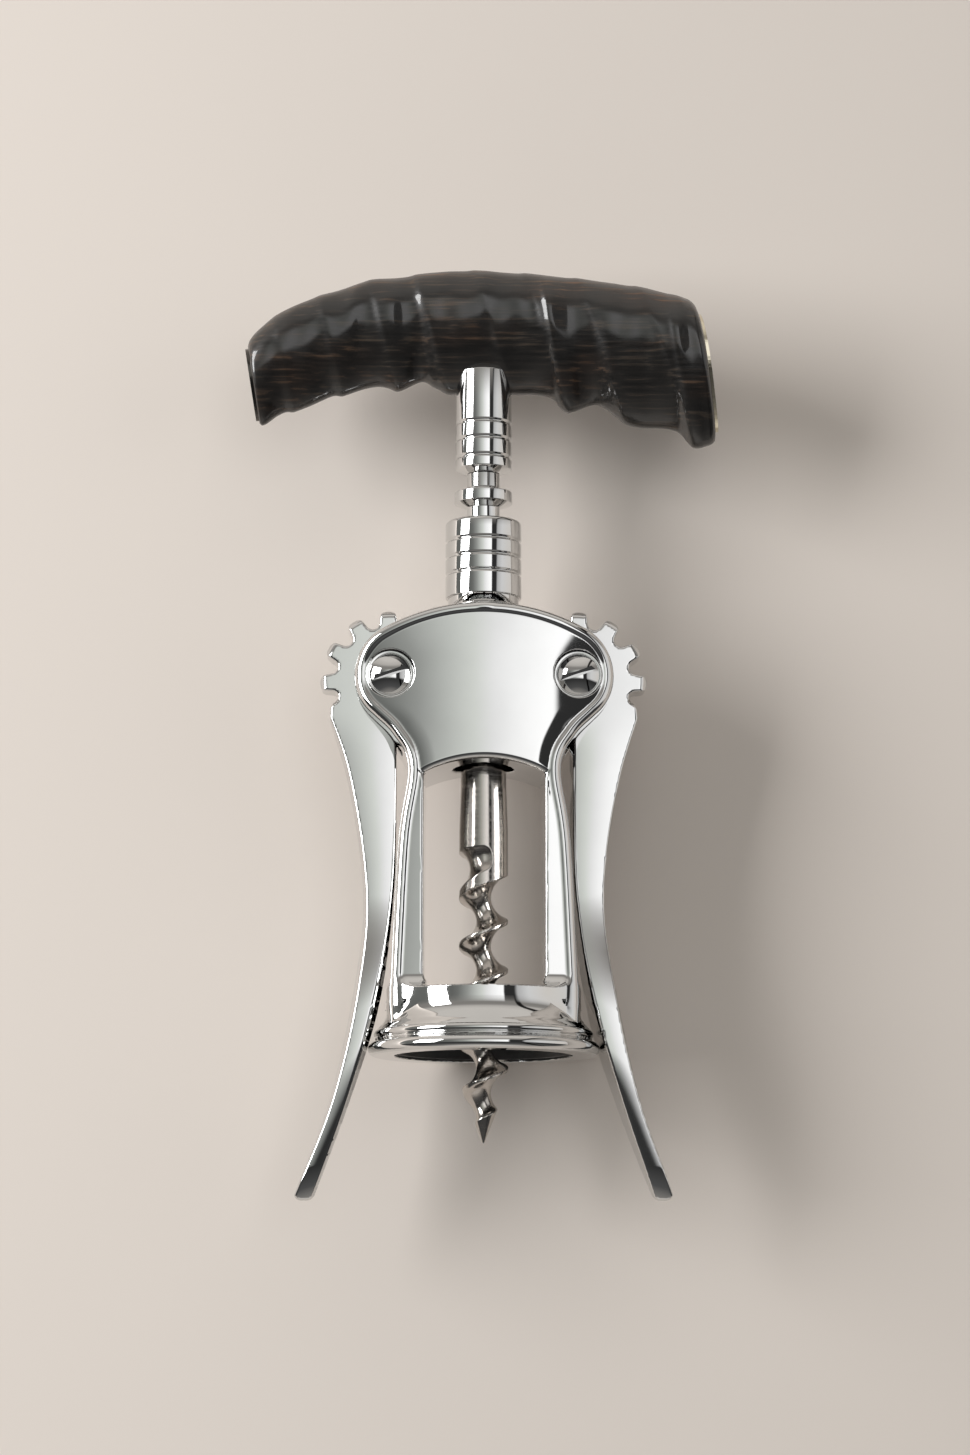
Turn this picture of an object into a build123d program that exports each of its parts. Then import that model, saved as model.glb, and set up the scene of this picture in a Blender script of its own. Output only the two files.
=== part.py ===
"""Double-lever corkscrew with a horn crossbar, laid on its back.

Millimetres. Y runs along the worm axis from the bell mouth (Y = 0) towards the handle,
X points to the right and Z up, towards someone who looks at the front plate.
"""
import os
from math import acos, cos, degrees, radians, sin, sqrt, tan

from build123d import *

os.makedirs("parts", exist_ok=True)

# Fits
running_gap = 0.05        # radial gap of a lever on its pivot and of the rod in the rack
guide_gap = 0.2           # radial gap of the rack in its collar
seat_gap = 0.02           # radial gap of pieces that are pressed or screwed together
face_gap = 0.05           # axial gap beside faces that turn on each other

# Bell at the bottom of the frame
mouth_r = 16.9            # bore that takes the plastic insert
bell_bore_r = 15.2        # bore above the insert
insert_seat_y = 9.0       # shoulder that the insert stops against
ring_r = 17.7             # outside of the ring above the flare
ring_top_y = 12.2         # top of the ring, which is the foot of the window
flare_r = 20.2            # wide end of the flare
flare_y = 4.9             # where the flare ends in a bead
flare_hollow = (18.2, 7.95)          # point on the hollow side of the flare
bead_r = 0.9              # half-round bead under the flare
bead_x = 20.0
groove_floor_r = 19.8     # groove between the bead and the rim
rim_r = 22.1              # outside of the rounded rim
rim_h = 2.6               # height of the rounded rim
insert_throat_r = 15.3    # narrowest bore of the plastic insert
insert_mouth_r = 16.3     # its bore at the mouth
insert_recess = 0.6       # how far the insert lies inside the mouth

# Housing and legs of the frame
pivot_x = 17.9            # each pivot from the worm axis
pivot_y = 72.2
lobe_r = 9.9              # rounding of the plate around each pivot
lobe_reach = 6.95         # from the pivot to the outer edge of the plate
lobe_turn = 50            # how far below the pivot the lobe's arc runs, in degrees
plate_top_r = 42.0        # radius of the plate's upper edge
hip = (17.3, 60.4)        # points on the outer edge of a leg, from the housing down
waist = (14.5, 54.0)
calf = (16.3, 40.0)
bulge_half_w = 40.5       # half width at which the front and rear bulges would meet
housing_half_t = 12.4     # half thickness on the axis at the housing
leg_half_t = 10.5         # half thickness on the axis at the foot of the legs
rim_round = 1.4           # rounding of the plate's edges
window_half_w = 11.5
arch_y = 52.9             # where the arch over the window springs
arch_rise = 2.7
boss_r = 12.6             # foot of the flared boss that carries the collar
boss_h = 5.0              # height of the flare
boss_hollow = (8.7, 85.3)            # point on the hollow side of the flare
boss_sink = 4.0           # how far the boss reaches into the housing
seat_y = 88.6             # top of the boss, where the collar sits
shaft_hole_r = 6.0        # hole through the housing for the rack
pocket_gap = 0.6          # around the lever teeth, in their pockets

# Guide collar
collar_r = 7.4
collar_h = 15.2
collar_round = 2.2        # rounded shoulder
collar_groove_y = (4.6, 7.9, 11.1)   # grooves above the seat
groove_w = 0.9
groove_d = 0.35
spigot_r = 6.9            # spigot of the collar in the boss
spigot_l = 5.0

# Rack and the toothed ends of the levers
rack_pitch = 6.52
rack_r = 5.65             # outside of the rack's rings
rack_root_r = 3.2
rack_tip_w = 2.1          # flat width of a ring's edge
rack_rings = 8
top_ring_y = 108.6        # middle of the highest ring
tooth_angle = 30          # angle between lever teeth
pressure_angle = 20
backlash = 0.9            # the teeth run loosely on the rings
gear_tip_r = 13.6
gear_root_r = 10.5
lever_teeth = 8
tip_round = 0.55
root_round = 0.8

# Lever arms
lever_t = 6.4
lever_swell_t = 13.0      # greatest thickness, low on the arm
lever_tip_t = 5.5
flare_start = 30.0        # below the pivot, where the arm begins to thicken
flare_end = 66.0          # below the pivot, where it is thickest
lever_l = 99.5            # from the pivot to the tip
lever_bevel = 0.6
arm_outer = [(-12.2, -5.9), (-7.6, -20.6), (-4.9, -41.5), (-6.6, -59.9), (-11.1, -80.5), (-17.9, -98.5)]
arm_inner = [(-15.1, -98.9), (-8.1, -79.1), (-3.4, -61.5), (-0.1, -42.3), (0.8, -17.2), (0.8, -8.0)]
arm_root = (-8.8, -4.2)   # arm points are measured from the pivot of the left lever
arm_tip = (-16.6, -99.5)

# Pivots
barrel_r = 2.5            # sleeve nut that the lever turns on
barrel_l = 17.2
screw_r = 1.5
screw_l = 10.0
head_ring_r = 4.55        # thin flange of the domed heads
head_ring_t = 0.6
dome_r = 3.6
dome_h = 1.5
slot_w = 0.8
slot_d = 0.8
slot_turn = 18            # turn of the screwdriver slot, in degrees
head_seat_z = 8.75        # flat seat in the plate under each head
head_gap = 0.08           # around the flange, in its seat
washer_r = 5.2
washer_t = 0.35

# Spindle: worm, ferrule and handle
rod_r = 2.2               # thin upper part of the worm, inside the rack
shank_r = 4.4
flight_r = 4.7            # outside of the worm's flight
worm_pitch = 9.35
groove_core_r = 1.4       # core left by the helical groove
groove_tool_r = 4.3       # round groove between the flights
groove_top_y = 37.4       # where the groove runs out at the front
groove_turns = 6
worm_taper_y = -5.0       # where the flight begins to taper
worm_tip_y = -16.4
worm_tip_r = 0.15
shank_foot_y = 43.0       # where the shank begins to narrow, above the groove
shank_taper_l = 9.0
ferrule_r = 5.5
ferrule_foot_y = 114.3
ferrule_chamfer = 0.9
ferrule_neck_r = 3.4      # narrow foot of the ferrule, above the rack
ferrule_top_y = 134.0     # tops of the lips that hold the horn
ferrule_groove_y = (2.1, 5.6, 9.0)   # grooves above the foot
rod_thread_l = 8.0        # length of rod inside the ferrule
stud_r = 2.0
stud_foot_y = 123.0
stud_top_y = 144.0

# Horn crossbar
horn_left_x = -44.6
horn_right_x = 43.8
horn_top = [                         # points on its upper and lower edges, from the front
    (-47.0, 139.8), (-41.9, 144.7), (-34.9, 148.4), (-23.4, 152.3), (-5.5, 154.5), (4.8, 154.2),
    (26.4, 152.0), (35.5, 150.3), (42.6, 147.6),
]
horn_bottom = [
    (-43.0, 122.6), (-37.5, 125.9), (-25.9, 129.9), (-18.0, 130.3), (-12.7, 131.9), (-8.0, 129.9),
    (8.0, 129.9), (15.4, 126.4), (20.0, 127.6), (27.0, 124.0), (34.0, 123.0), (40.6, 119.6), (46.5, 120.0),
]
horn_ring_x = (-40.0, -31.0, -21.5, -11.0, 0.3, 11.0, 22.0, 32.0, 39.0)   # rings around it
horn_lean = 9             # slant of the end cuts, in degrees
ring_lean = 16            # slant of the rings, in degrees
horn_reach = 12.0         # from the middle line to an edge, about which the slants are taken
horn_depth = 0.70         # depth of the section over its height
horn_egg = 0.20           # how far the widest place lies above the middle
ring_h = 0.6              # how far a ring stands out at the front and rear
end_plate_t = 0.8
end_plate_share = 0.80    # end plate's size over the horn's end

# Derived sizes
pitch_r = rack_pitch / radians(tooth_angle)
base_r = pitch_r * cos(radians(pressure_angle))
rack_pitch_line = pivot_x - pitch_r
bead_y = flare_y - bead_r
rim_centre_r = rim_r - rim_h / 2
boss_foot_y = seat_y - boss_h - boss_sink
slot_half = lever_t / 2 + washer_t + 2 * face_gap
collar_top_y = seat_y + collar_h
rack_top_y = ferrule_foot_y - ferrule_chamfer - face_gap
ring_y = [top_ring_y - rack_pitch * i for i in range(rack_rings)]
flank_w = (rack_r - rack_root_r) * tan(radians(pressure_angle))
rack_foot_y = ring_y[-1] - rack_tip_w / 2 - flank_w
shank_top_y = rack_foot_y - face_gap
pivots = {"left": (-pivot_x, pivot_y), "right": (pivot_x, pivot_y)}


def edge_y(edge, x):
    """Height of an edge of the horn, read between its measured points."""
    for (xa, ya), (xb, yb) in zip(edge, edge[1:]):
        if x <= xb:
            return ya + (yb - ya) * (x - xa) / (xb - xa)


def horn_section(x, lean):
    """Plane and half height of the section that leans through one place on the horn."""
    shift = horn_reach * tan(radians(lean))
    top = Vector(x - shift, edge_y(horn_top, x - shift))
    bottom = Vector(x + shift, edge_y(horn_bottom, x + shift))
    up = (top - bottom).normalized()
    plane = Plane(origin=(top + bottom) / 2, x_dir=(0, 0, -1), z_dir=(up.Y, -up.X, 0))
    return plane, (top - bottom).length / 2


def egg(half_h, half_d):
    """Egg-shaped section, narrow end down."""
    rise = horn_egg * half_h
    with BuildLine(Plane.XY) as section:
        EllipticalCenterArc((0, rise), half_d, half_h - rise, 0, arc_size=180)
        EllipticalCenterArc((0, rise), half_d, half_h + rise, 180, arc_size=180)
    make_face(section.edges())


def grooved_shaft(radius, low_y, high_y, groove_y):
    """Half section of a shaft with shallow turned grooves."""
    with BuildLine(Plane.XY) as section:
        Polyline((0, low_y), (radius, low_y), (radius, high_y), (0, high_y), close=True)
    make_face(section.edges())
    for y in groove_y:
        with Locations((radius, low_y + y)):
            Ellipse(groove_d, groove_w / 2, mode=Mode.SUBTRACT)


# Frame: bulged housing on two legs, with the bell, the window and the lever pockets
lobe_x = pivot_x + lobe_reach - lobe_r
plate_top_cy = pivot_y - sqrt((plate_top_r - lobe_r) ** 2 - lobe_x**2)
lobe_start = degrees(acos(lobe_x / (plate_top_r - lobe_r)))
ankle = (ring_r, ring_top_y)

with BuildPart() as frame:
    for y, half_t in ((0, leg_half_t), (arch_y, housing_half_t), (seat_y + boss_h, housing_half_t)):
        with BuildSketch(Plane.XZ.offset(-y)):
            with BuildLine():
                ThreePointArc((-bulge_half_w, 0), (0, half_t), (bulge_half_w, 0))
                ThreePointArc((bulge_half_w, 0), (0, -half_t), (-bulge_half_w, 0))
            make_face()
    loft()
    with BuildSketch(Plane.XY.offset(-housing_half_t - rim_round)):
        with BuildLine():
            upper = CenterArc((0, plate_top_cy), plate_top_r, lobe_start, 90 - lobe_start)
            lobe = CenterArc((lobe_x, pivot_y), lobe_r, lobe_start, -lobe_start - lobe_turn)
            Spline(lobe @ 1, hip, waist, calf, tangents=(lobe % 1, Vector(ankle) - Vector(calf)))
            Polyline(calf, ankle, (ring_r, flare_y), (0, flare_y), upper @ 1)
        make_face()
        mirror(about=Plane.YZ)
    extrude(amount=2 * (housing_half_t + rim_round), mode=Mode.INTERSECT)
    rims = frame.edges().filter_by(lambda e: abs(e.center().Z) > slot_half and e.center().Y > ring_top_y)
    fillet(rims, rim_round)
    with BuildSketch(Plane.XY):
        with BuildLine():
            arch = ThreePointArc((-window_half_w, arch_y), (0, arch_y + arch_rise), (window_half_w, arch_y))
            Polyline(arch @ 1, (window_half_w, flare_y), (-window_half_w, flare_y), arch @ 0)
        make_face()
    extrude(amount=2 * housing_half_t, both=True, mode=Mode.SUBTRACT)
    with BuildSketch(Plane.XY):
        with BuildLine():
            ThreePointArc((flare_r, flare_y), flare_hollow, ankle)
            Polyline(ankle, (0, ring_top_y), (0, bead_y), (flare_r, bead_y), (flare_r, flare_y))
        make_face()
        with Locations((bead_x, bead_y)):
            Circle(bead_r)
        with Locations((groove_floor_r / 2, flare_y / 2)):
            Rectangle(groove_floor_r, flare_y)
        with Locations((rim_centre_r, rim_h / 2)):
            Circle(rim_h / 2)
        with Locations((rim_centre_r / 2, rim_h / 2)):
            Rectangle(rim_centre_r, rim_h)
    revolve(axis=Axis.Y)
    with BuildSketch(Plane.XY):
        with BuildLine():
            boss = ThreePointArc((boss_r, seat_y - boss_h), boss_hollow, (collar_r, seat_y))
            Polyline(boss @ 1, (0, seat_y), (0, boss_foot_y), (boss_r, boss_foot_y), boss @ 0)
        make_face()
    revolve(axis=Axis.Y)
    with BuildSketch(Plane.XY):
        with BuildLine():
            Polyline(
                (0, 0), (mouth_r, 0), (mouth_r, insert_seat_y), (bell_bore_r, insert_seat_y),
                (bell_bore_r, ring_top_y), (0, ring_top_y), close=True,
            )
        make_face()
        with Locations((shaft_hole_r / 2, (arch_y + seat_y) / 2)):
            Rectangle(shaft_hole_r, seat_y - arch_y + spigot_l)
        with Locations(((spigot_r + seat_gap) / 2, seat_y - spigot_l / 2)):
            Rectangle(spigot_r + seat_gap, spigot_l + 2 * face_gap)
    revolve(axis=Axis.Y, mode=Mode.SUBTRACT)
    with BuildSketch(Plane.XY):
        with Locations(*pivots.values()):
            Circle(gear_tip_r + pocket_gap)
    extrude(amount=slot_half, both=True, mode=Mode.SUBTRACT)
    with BuildSketch(Plane.XY):
        with Locations(*pivots.values()):
            Circle(barrel_r + seat_gap)
    extrude(amount=housing_half_t, both=True, mode=Mode.SUBTRACT)
    for side in (1, -1):
        with BuildSketch(Plane.XY.offset(side * head_seat_z)):
            with Locations(*pivots.values()):
                Circle(head_ring_r + head_gap)
        extrude(amount=side * housing_half_t, mode=Mode.SUBTRACT)

frame.part.label = "frame"
export_step(frame.part, "parts/frame.step")

# Guide collar: grooved tube on a spigot in the boss
with BuildPart() as guide_collar:
    with BuildSketch(Plane.XY):
        grooved_shaft(collar_r, seat_y, collar_top_y, collar_groove_y)
    revolve(axis=Axis.Y)
    fillet(guide_collar.edges().sort_by(Axis.Y)[-1], collar_round)
    with BuildSketch(Plane.XZ.offset(-seat_y)):
        Circle(spigot_r)
    extrude(amount=spigot_l)
    with BuildSketch(Plane.XZ.offset(-seat_y)):
        Circle(rack_r + guide_gap)
    extrude(amount=collar_h + spigot_l, both=True, mode=Mode.SUBTRACT)

guide_collar.part.label = "guide_collar"
export_step(guide_collar.part, "parts/guide_collar.step")

# Plastic insert in the mouth of the bell
with BuildPart() as bell_insert:
    with BuildSketch(Plane.XY):
        with BuildLine():
            Polyline(
                (insert_mouth_r, insert_recess),
                (mouth_r - seat_gap, insert_recess),
                (mouth_r - seat_gap, insert_seat_y),
                (insert_throat_r, insert_seat_y),
                close=True,
            )
        make_face()
    revolve(axis=Axis.Y)

bell_insert.part.label = "bell_insert"
export_step(bell_insert.part, "parts/bell_insert.step")

# Rack: a sleeve with rings that the lever teeth run on
with BuildPart() as rack_sleeve:
    with BuildSketch(Plane.XY):
        with BuildLine():
            Polyline(
                (0, rack_foot_y), (rack_root_r, rack_foot_y), (rack_root_r, rack_top_y), (0, rack_top_y),
                close=True,
            )
        make_face()
        for y in ring_y:
            half_tip = rack_tip_w / 2
            with BuildLine():
                Polyline(
                    (0, y - half_tip - flank_w),
                    (rack_root_r, y - half_tip - flank_w),
                    (rack_r, y - half_tip),
                    (rack_r, y + half_tip),
                    (rack_root_r, y + half_tip + flank_w),
                    (0, y + half_tip + flank_w),
                    close=True,
                )
            make_face()
    revolve(axis=Axis.Y)
    with BuildSketch(Plane.XZ.offset(-rack_top_y)):
        Circle(rod_r + running_gap)
    extrude(amount=rack_top_y - rack_foot_y, mode=Mode.SUBTRACT)

rack_sleeve.part.label = "rack_sleeve"
export_step(rack_sleeve.part, "parts/rack_sleeve.step")


def involute(angle):
    return tan(angle) - angle


def tooth_point(radius, angle, side):
    """Point on one flank of a lever tooth; below the base circle the flank runs straight in."""
    ring_w = rack_tip_w + 2 * (rack_r - rack_pitch_line) * tan(radians(pressure_angle))
    half = (rack_pitch - ring_w - backlash) / (2 * pitch_r)
    half += involute(radians(pressure_angle)) - involute(acos(min(1, base_r / radius)))
    turn = radians(angle) + side * half
    return Vector(radius * cos(turn), radius * sin(turn))


def lever_tooth(angle):
    hub_r = gear_root_r - root_round
    mid_r = (base_r + gear_tip_r) / 2
    with BuildLine(Plane.XY) as tooth:
        low = ThreePointArc(*(tooth_point(r, angle, -1) for r in (base_r, mid_r, gear_tip_r)))
        high = ThreePointArc(*(tooth_point(r, angle, 1) for r in (base_r, mid_r, gear_tip_r)))
        tip = Vector(gear_tip_r * cos(radians(angle)), gear_tip_r * sin(radians(angle)))
        ThreePointArc(low @ 1, tip, high @ 1)
        Polyline(low @ 0, tooth_point(hub_r, angle, -1), tooth_point(hub_r, angle, 1), high @ 0)
    make_face(tooth.edges())


def vertices_at(sketch, radius):
    """Corners of a sketch that lie on a circle about its origin."""
    return sketch.vertices().filter_by(lambda v: abs(sqrt(v.X**2 + v.Y**2) - radius) < 1e-4)


# Each gap of the rack that lies beside the pivot holds one lever tooth at rest
ring_beside = min(ring_y, key=lambda y: abs(y - pivot_y))
first_tooth = degrees((ring_beside + rack_pitch / 2 - pivot_y) / pitch_r) - tooth_angle
lever_planes = {
    "left": Plane(origin=(-pivot_x, pivot_y, 0)),
    "right": Plane(origin=(pivot_x, pivot_y, 0), x_dir=(-1, 0, 0), z_dir=(0, 0, -1)),
}


def toothed_sector(plane):
    """Toothed disc around the pivot, with its tips chamfered front and rear."""
    with BuildPart() as sector:
        with BuildSketch(plane.offset(-lever_t / 2)) as outline:
            Circle(gear_root_r)
            for i in range(lever_teeth):
                lever_tooth(first_tooth + i * tooth_angle)
            fillet(vertices_at(outline, gear_root_r), root_round)
            fillet(vertices_at(outline, gear_tip_r), tip_round)
        extrude(amount=lever_t)
        for face, turn in ((lever_t / 2, -1), (-lever_t / 2, 1)):
            with BuildSketch(plane.offset(face)):
                Circle(2 * gear_tip_r)
                Circle(gear_tip_r - lever_bevel, mode=Mode.SUBTRACT)
            extrude(amount=turn * lever_bevel, taper=-turn * 45, mode=Mode.SUBTRACT)
    return sector.part


def make_lever(plane, label):
    """Cast lever: a toothed sector on the pivot, and an arm that swells low down and thins to its tip."""
    sector = toothed_sector(plane)
    side_plane = Plane(origin=plane.origin, x_dir=plane.y_dir, z_dir=plane.x_dir)
    flare_mid = (flare_start + flare_end) / 2
    nose_mid = (flare_end + lever_l) / 2
    swell_half = lever_swell_t / 2
    with BuildPart() as lever:
        with BuildSketch(plane.offset(-lever_swell_t)):
            with BuildLine():
                outer = Spline(*arm_outer)
                inner = Spline(*arm_inner)
                ThreePointArc(outer @ 1, arm_tip, inner @ 0)
                Polyline(inner @ 1, arm_root, outer @ 0)
            make_face()
        extrude(amount=2 * lever_swell_t)
        with BuildSketch(side_plane.offset(-2 * pivot_x)):
            with BuildLine():
                top = Line((2 * gear_tip_r, lever_t / 2), (-flare_start, lever_t / 2))
                bends = [(-flare_mid, lever_t / 2), (-flare_mid, swell_half)]
                flare = Bezier(top @ 1, *bends, (-flare_end, swell_half))
                nose = Bezier(flare @ 1, (-nose_mid, swell_half), (-lever_l, lever_tip_t / 2))
                Polyline(nose @ 1, (-lever_l, 0), (2 * gear_tip_r, 0), top @ 0)
            make_face()
            mirror(about=Plane.XZ)
        extrude(amount=4 * pivot_x, mode=Mode.INTERSECT)
        long_edges = lever.edges().filter_by(GeomType.BSPLINE)
        fillet(long_edges.filter_by(lambda e: abs(e.center().Z) > lever_t / 2 - face_gap), lever_bevel)
        add(sector)
        with BuildSketch(plane):
            Circle(barrel_r + running_gap)
        extrude(amount=lever_t, both=True, mode=Mode.SUBTRACT)
    lever.part.label = label
    export_step(lever.part, f"parts/{label}.step")


for side, plane in lever_planes.items():
    make_lever(plane, f"lever_{side}")


def pivot_piece(label, x, side, shank, length, bore_r):
    """Domed, slotted head on a shank that points into the housing, bored from the shank's end."""
    seat = Plane(origin=(x, pivot_y, side * head_seat_z), x_dir=(1, 0, 0), z_dir=(0, -side, 0))
    head_top = head_ring_t + dome_h
    with BuildPart() as piece:
        with BuildSketch(seat):
            with BuildLine():
                dome = TangentArc((0, head_top), (dome_r, head_ring_t), tangent=(1, 0))
                Polyline(dome @ 1, (head_ring_r, head_ring_t), (head_ring_r, 0), (shank, 0))
                Polyline((shank, 0), (shank, -length), (0, -length), dome @ 0)
            make_face()
        revolve(axis=Axis((x, pivot_y, 0), (0, 0, 1)))
        with BuildSketch(Plane.XY.offset(side * (head_seat_z + head_top - slot_d))):
            with Locations((x, pivot_y)):
                Rectangle(2 * dome_r, slot_w, rotation=slot_turn)
        extrude(amount=side * slot_d, mode=Mode.SUBTRACT)
        if bore_r:
            with BuildSketch(Plane.XY.offset(side * (head_seat_z - length))):
                with Locations((x, pivot_y)):
                    Circle(bore_r)
            extrude(amount=side * screw_l, mode=Mode.SUBTRACT)
    piece.part.label = label
    export_step(piece.part, f"parts/{label}.step")


def make_washer(label, x, side):
    with BuildPart() as washer:
        with BuildSketch(Plane.XY.offset(side * (lever_t / 2 + face_gap))):
            with Locations((x, pivot_y)):
                Circle(washer_r)
                Circle(barrel_r + running_gap, mode=Mode.SUBTRACT)
        extrude(amount=side * washer_t)
    washer.part.label = label
    export_step(washer.part, f"parts/{label}.step")


# Pivots: a sleeve nut from the rear, a screw from the front, and a washer on each face of the lever
for side, (x, _) in pivots.items():
    pivot_piece(f"pivot_barrel_{side}", x, -1, barrel_r, barrel_l, screw_r + seat_gap)
    pivot_piece(f"pivot_screw_{side}", x, 1, screw_r, screw_l, 0)
    make_washer(f"washer_{side}_front", x, 1)
    make_washer(f"washer_{side}_rear", x, -1)

# Worm: a milled auger below a plain shank, with a thin rod that runs up through the rack
rod_top_y = ferrule_foot_y - ferrule_chamfer + rod_thread_l
groove_l = groove_turns * worm_pitch
groove_r = groove_core_r + groove_tool_r
with BuildPart() as worm:
    with BuildSketch(Plane.XZ.offset(groove_l - groove_top_y)):
        Circle(flight_r)
    extrude(amount=-groove_l - shank_foot_y + groove_top_y)
    with BuildLine():
        groove = Helix(worm_pitch, groove_l, groove_r, (0, groove_top_y - groove_l, 0), (0, 1, 0))
    with BuildSketch(Plane(origin=groove @ 0, x_dir=(0, 0, 1), z_dir=groove % 0)):
        Circle(groove_tool_r)
    sweep(path=groove, is_frenet=True, mode=Mode.SUBTRACT)
    with Locations(groove @ 1):
        Sphere(groove_tool_r, mode=Mode.SUBTRACT)
    with BuildSketch(Plane.XY):
        with BuildLine():
            Polyline(
                (0, worm_tip_y), (worm_tip_r, worm_tip_y), (flight_r + face_gap, worm_taper_y),
                (groove_r, worm_taper_y), (groove_r, -groove_l), (0, -groove_l), close=True,
            )
        make_face()
    revolve(axis=Axis.Y, mode=Mode.SUBTRACT)
    with BuildSketch(Plane.XY):
        with BuildLine():
            Polyline(
                (0, shank_foot_y), (flight_r, shank_foot_y), (shank_r, shank_foot_y + shank_taper_l),
                (shank_r, shank_top_y), (rod_r, shank_top_y), (rod_r, rod_top_y), (0, rod_top_y),
                close=True,
            )
        make_face()
    revolve(axis=Axis.Y)

worm.part.label = "worm"
export_step(worm.part, "parts/worm.step")

# Horn crossbar: bent, swelling to the right, with slanted rings around it
horn_stations = [(horn_left_x, horn_lean, 0)]
for x, next_x in zip(horn_ring_x, horn_ring_x[1:]):
    horn_stations += [(x, ring_lean, ring_h), ((x + next_x) / 2, ring_lean, 0)]
horn_stations += [(horn_ring_x[-1], ring_lean, ring_h), (horn_right_x, horn_lean, 0)]

with BuildPart() as horn_handle:
    for x, lean, swell in horn_stations:
        plane, half_h = horn_section(x, lean)
        with BuildSketch(plane):
            egg(half_h, horn_depth * half_h * cos(radians(lean)) + swell)
    loft(ruled=True)
    with BuildSketch(Plane.XZ.offset(-stud_top_y)):
        Circle(stud_r + seat_gap)
    extrude(amount=stud_top_y - stud_foot_y, mode=Mode.SUBTRACT)

horn_handle.part.label = "horn_handle"
export_step(horn_handle.part, "parts/horn_handle.step")

# End plates of the horn
for side, x, turn in (("left", horn_left_x, -1), ("right", horn_right_x, 1)):
    plane, half_h = horn_section(x, horn_lean)
    plate_h = end_plate_share * half_h
    with BuildPart() as end_plate:
        with BuildSketch(plane):
            egg(plate_h, horn_depth * plate_h)
        extrude(amount=turn * end_plate_t)
    end_plate.part.label = f"handle_end_plate_{side}"
    export_step(end_plate.part, f"parts/handle_end_plate_{side}.step")

# Ferrule: grooved socket with a saddle that the horn lies in
with BuildPart() as ferrule:
    with BuildSketch(Plane.XY):
        grooved_shaft(ferrule_r, ferrule_foot_y, ferrule_top_y, ferrule_groove_y)
        with BuildLine():
            Polyline(
                (0, ferrule_foot_y - ferrule_chamfer), (ferrule_neck_r, ferrule_foot_y - ferrule_chamfer),
                (ferrule_r, ferrule_foot_y), (0, ferrule_foot_y), close=True,
            )
        make_face()
    revolve(axis=Axis.Y)
    add(horn_handle.part, mode=Mode.SUBTRACT)
    with BuildSketch(Plane.XZ.offset(-rod_top_y - face_gap)):
        Circle(rod_r + seat_gap)
    extrude(amount=rod_thread_l + 2 * face_gap, mode=Mode.SUBTRACT)
    with BuildSketch(Plane.XZ.offset(-stud_top_y)):
        Circle(stud_r + seat_gap)
    extrude(amount=stud_top_y - stud_foot_y + face_gap, mode=Mode.SUBTRACT)

ferrule.part.label = "ferrule"
export_step(ferrule.part, "parts/ferrule.step")

# Stud that holds the horn on the ferrule
with BuildPart() as handle_stud:
    with BuildSketch(Plane.XZ.offset(-stud_foot_y)):
        Circle(stud_r)
    extrude(amount=stud_foot_y - stud_top_y + face_gap)

handle_stud.part.label = "handle_stud"
export_step(handle_stud.part, "parts/handle_stud.step")
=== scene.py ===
"""Lever corkscrew with a horn crossbar: the looks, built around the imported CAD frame.

Sizes are millimetres in the CAD frame and become metres where a mesh is made: X points to the right,
Y along the worm axis from the bell's mouth towards the handle, and Z up, out of the front plate.
"""

from math import acos, atan2, cos, degrees, pi, radians, sin, sqrt, tan

import bmesh
import bpy
import numpy as np
from mathutils import Matrix, Vector


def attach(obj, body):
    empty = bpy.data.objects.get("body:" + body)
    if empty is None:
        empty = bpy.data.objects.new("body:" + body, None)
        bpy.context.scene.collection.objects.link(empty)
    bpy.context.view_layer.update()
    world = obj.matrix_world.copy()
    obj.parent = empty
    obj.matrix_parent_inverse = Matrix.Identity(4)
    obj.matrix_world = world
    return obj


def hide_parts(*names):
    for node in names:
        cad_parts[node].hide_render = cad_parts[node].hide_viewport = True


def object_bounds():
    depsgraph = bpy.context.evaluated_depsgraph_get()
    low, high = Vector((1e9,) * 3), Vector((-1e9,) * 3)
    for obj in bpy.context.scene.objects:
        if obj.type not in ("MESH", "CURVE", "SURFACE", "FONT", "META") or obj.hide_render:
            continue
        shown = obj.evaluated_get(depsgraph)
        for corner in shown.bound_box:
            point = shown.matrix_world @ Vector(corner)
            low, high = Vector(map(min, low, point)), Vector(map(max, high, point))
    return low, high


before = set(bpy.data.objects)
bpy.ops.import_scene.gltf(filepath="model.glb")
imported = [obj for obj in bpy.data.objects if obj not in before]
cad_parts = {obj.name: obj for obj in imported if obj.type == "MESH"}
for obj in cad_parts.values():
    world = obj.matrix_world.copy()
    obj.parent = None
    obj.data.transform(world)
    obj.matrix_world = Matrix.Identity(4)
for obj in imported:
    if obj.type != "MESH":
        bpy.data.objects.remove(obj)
cad_box = [list(corner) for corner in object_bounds()]
MM = 0.001

# Bell, housing and legs
mouth_r, bell_bore_r, insert_seat_y = 16.9, 15.2, 9.0
ring_r, ring_top_y = 17.7, 12.2
flare_r, flare_y, flare_hollow = 20.2, 4.9, (18.2, 7.95)
rim_r, rim_h = 22.08, 2.6
pivot_x, pivot_y, leg_foot_y = 17.9, 72.2, 5.5
lobe_r, lobe_reach, lobe_turn = 9.9, 6.95, 50
plate_top_r = 42.0
hip, waist, calf = (17.3, 60.4), (14.5, 54.0), (16.3, 40.0)
bulge_half_w, leg_bulge_w, top_flatter, housing_half_t, leg_half_t = 40.5, 46.0, 7.0, 12.4, 10.5
window_half_w, window_draft, arch_y, arch_rise = 11.5, 0.035, 52.9, 2.7
seat_y, shaft_hole_r, spigot_r, spigot_l = 88.6, 6.0, 6.92, 5.05
slot_half, pocket_r = 3.65, 14.2
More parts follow.
